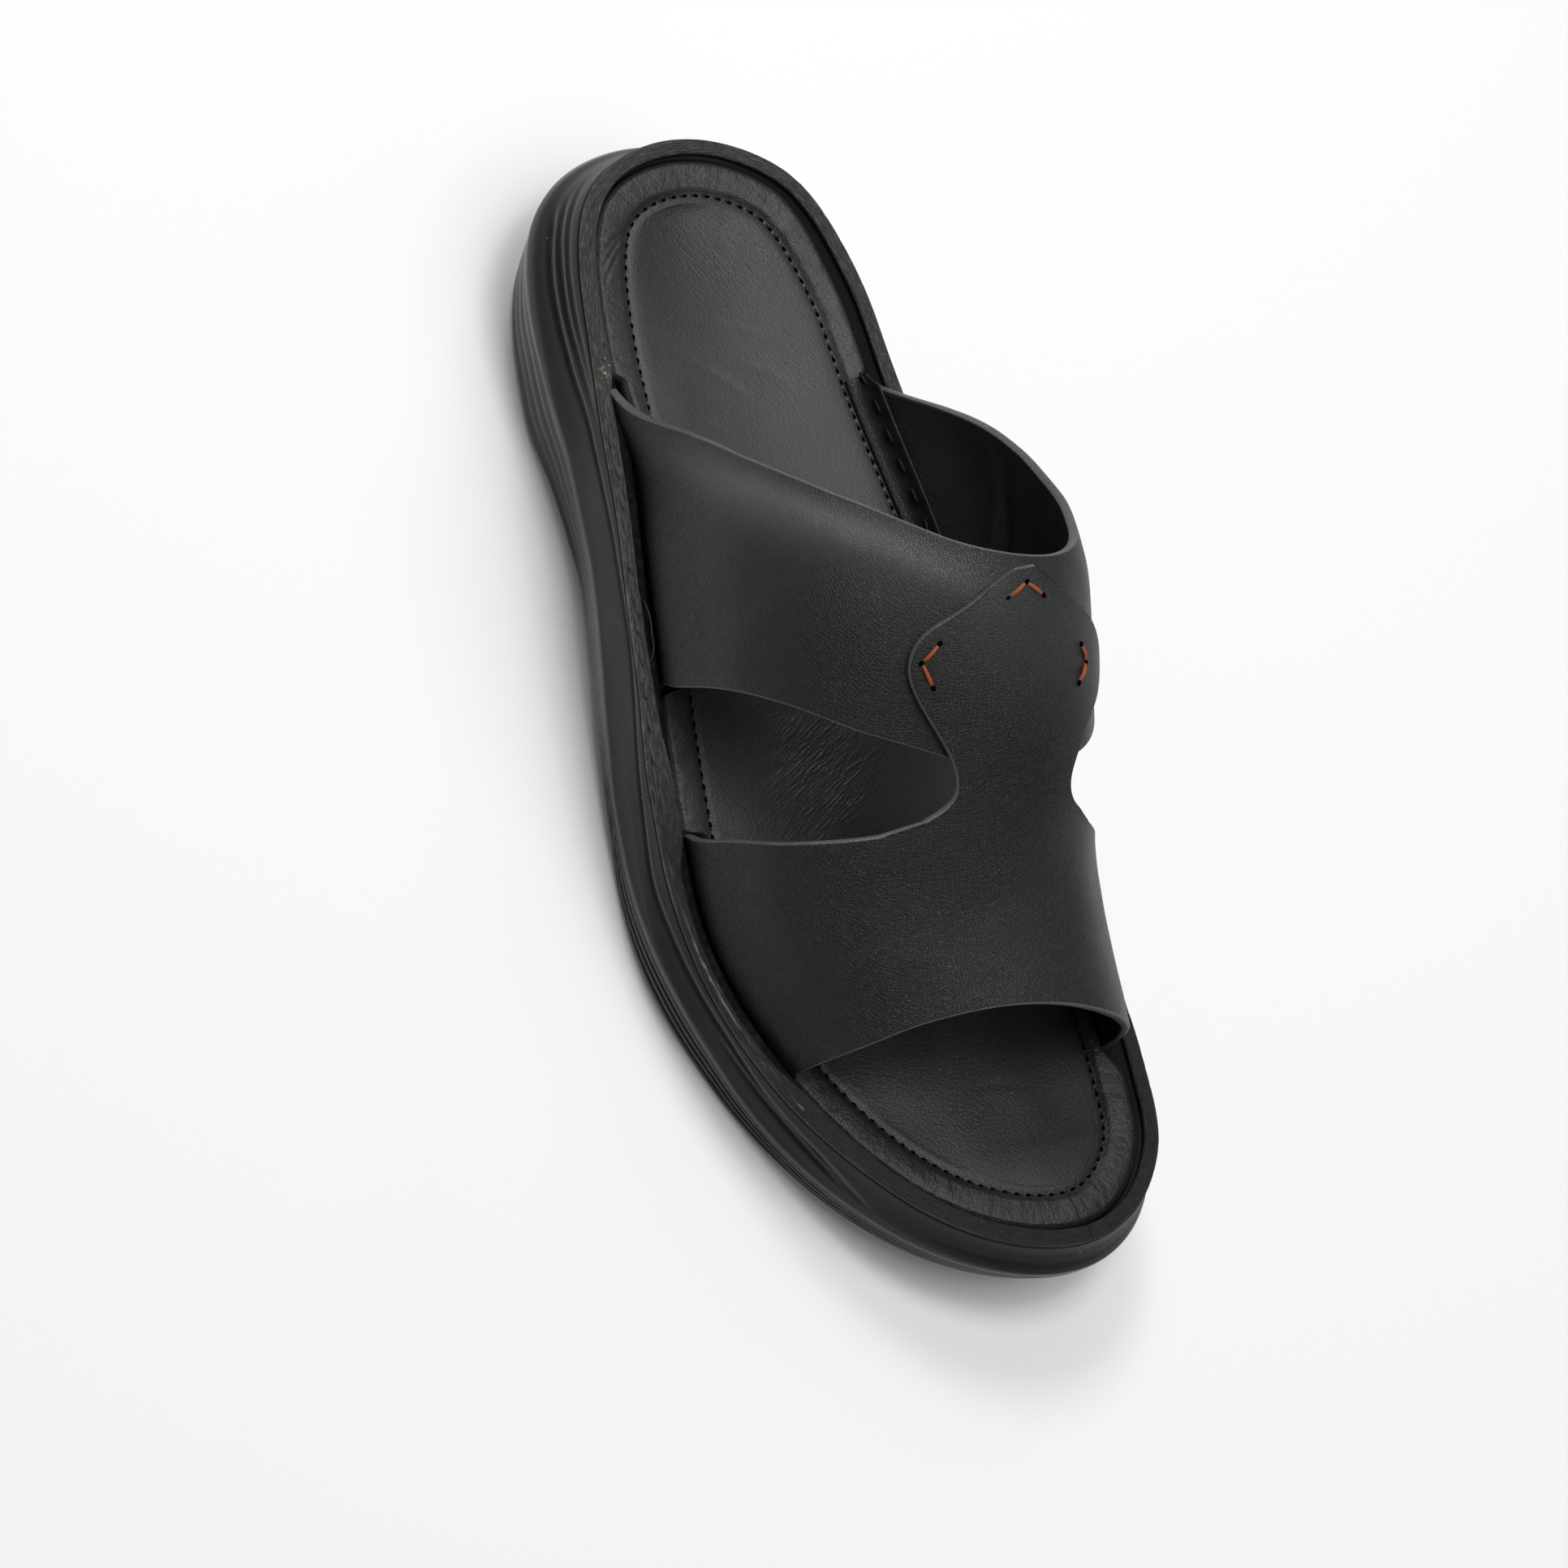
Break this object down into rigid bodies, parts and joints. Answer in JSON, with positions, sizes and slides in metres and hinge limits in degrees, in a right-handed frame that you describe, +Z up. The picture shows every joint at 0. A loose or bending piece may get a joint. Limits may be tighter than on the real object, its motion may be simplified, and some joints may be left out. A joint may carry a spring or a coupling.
{
  "type": "arabic sandal",
  "caption": "Right-foot slide sandal: wide instep strap, front strap with a spade tab lapped over it, padded footbed, moulded sole with flared ribbed wall.",
  "frame": {"origin": "on the floor, under the middle of the sandal's box", "axes": "+Z up, +Y towards the heel, -Y towards the toe, -X towards the outer (lateral) side of the right foot"},
  "size_m": [0.1104, 0.2908, 0.1098],
  "materials": {
    "sole": "matte moulded polyurethane",
    "welt": "buffed leather edge strip",
    "footbed": "soft lining leather, semi-matte",
    "upper": "smooth fine-grain leather, satin",
    "thread": "waxed thread, orange-brown"
  },
  "bodies": {
    "root": {"outsole": "sole", "welt": "welt", "footbed": "footbed", "upper": "upper"}
  },
  "joints": []
}
